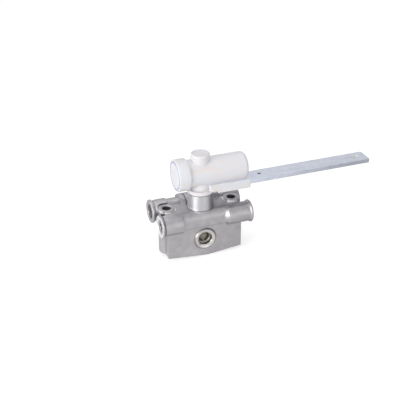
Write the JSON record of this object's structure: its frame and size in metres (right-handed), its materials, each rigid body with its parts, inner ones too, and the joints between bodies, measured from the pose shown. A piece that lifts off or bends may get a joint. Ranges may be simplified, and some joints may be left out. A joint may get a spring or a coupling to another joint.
{
  "type": "air suspension levelling valve",
  "caption": "Levelling valve for air suspension: cast body with air ports on three sides, vertical shaft, moulded head and a long flat lever that moves a control spool.",
  "frame": {"origin": "midway between the axes of the two mounting holes, in the plane of their pads", "axes": "+X along the lever at rest, -Y out of the exhaust port, +Z along the shaft from the body to the lever"},
  "size_m": [0.2362, 0.0525, 0.11],
  "materials": {
    "cast_aluminium": "fine grit-blasted die casting",
    "machined_aluminium": "turned, bright",
    "bronze": "sintered bronze",
    "brass": "turned brass",
    "black_rubber": "moulded nitrile rubber",
    "filter_olive": "sintered filter pad",
    "spring_steel": "drawn spring wire",
    "ground_steel": "ground steel",
    "white_acetal": "moulded acetal, slight sheen",
    "zinc_plated_steel": "blue passivated zinc plate"
  },
  "bodies": {
    "valve": {"valve_body": "cast_aluminium", "neck_collar": "machined_aluminium", "shaft_bush": "bronze", "shaft_seal": "black_rubber", "exhaust_filter": "filter_olive", "filter_ring": "spring_steel", "rear_plug": "brass", "plug_o_ring": "black_rubber", "check_seat": "brass", "check_spring": "spring_steel", "throttle_insert": "brass", "passage_ball": "spring_steel"},
    "rocker": {"shaft": "ground_steel", "shaft_o_ring": "black_rubber", "eccentric_pin": "ground_steel", "thrust_washer": "white_acetal", "head_housing": "white_acetal", "end_cap": "white_acetal", "retaining_ring": "spring_steel", "top_plug": "white_acetal", "overload_spring": "spring_steel", "lever": "zinc_plated_steel", "lever_screws": "zinc_plated_steel"},
    "spool": {"control_spool": "machined_aluminium", "spool_o_rings": "black_rubber"},
    "check": {"check_poppet": "brass"},
    "plunger": {"overload_plunger": "ground_steel"}
  },
  "joints": [
    {"name": "lever_turn", "type": "hinge", "parent": "valve", "child": "rocker", "pos_m": [0, -0.0035, 0], "axis": [0, 0, 1], "range_deg": [-40, 40]},
    {"name": "spool_slide", "type": "slide", "parent": "valve", "child": "spool", "axis": [0, 1, 0], "range_m": [-0.00129, 0.00129]},
    {"name": "check_slide", "type": "slide", "parent": "valve", "child": "check", "axis": [1, 0, 0], "range_m": [0, 0.002], "stiffness_N_per_m": 300, "springref_m": -0.003, "deforming": ["check_spring"]},
    {"name": "plunger_slide", "type": "slide", "parent": "rocker", "child": "plunger", "axis": [1, 0, 0], "range_m": [0, 0.0015], "stiffness_N_per_m": 2500, "springref_m": -0.01, "deforming": ["overload_spring"]}
  ],
  "couplings": [
    {"joint": "spool_slide", "follows": "lever_turn", "m_per_rad": 0.00184}
  ]
}
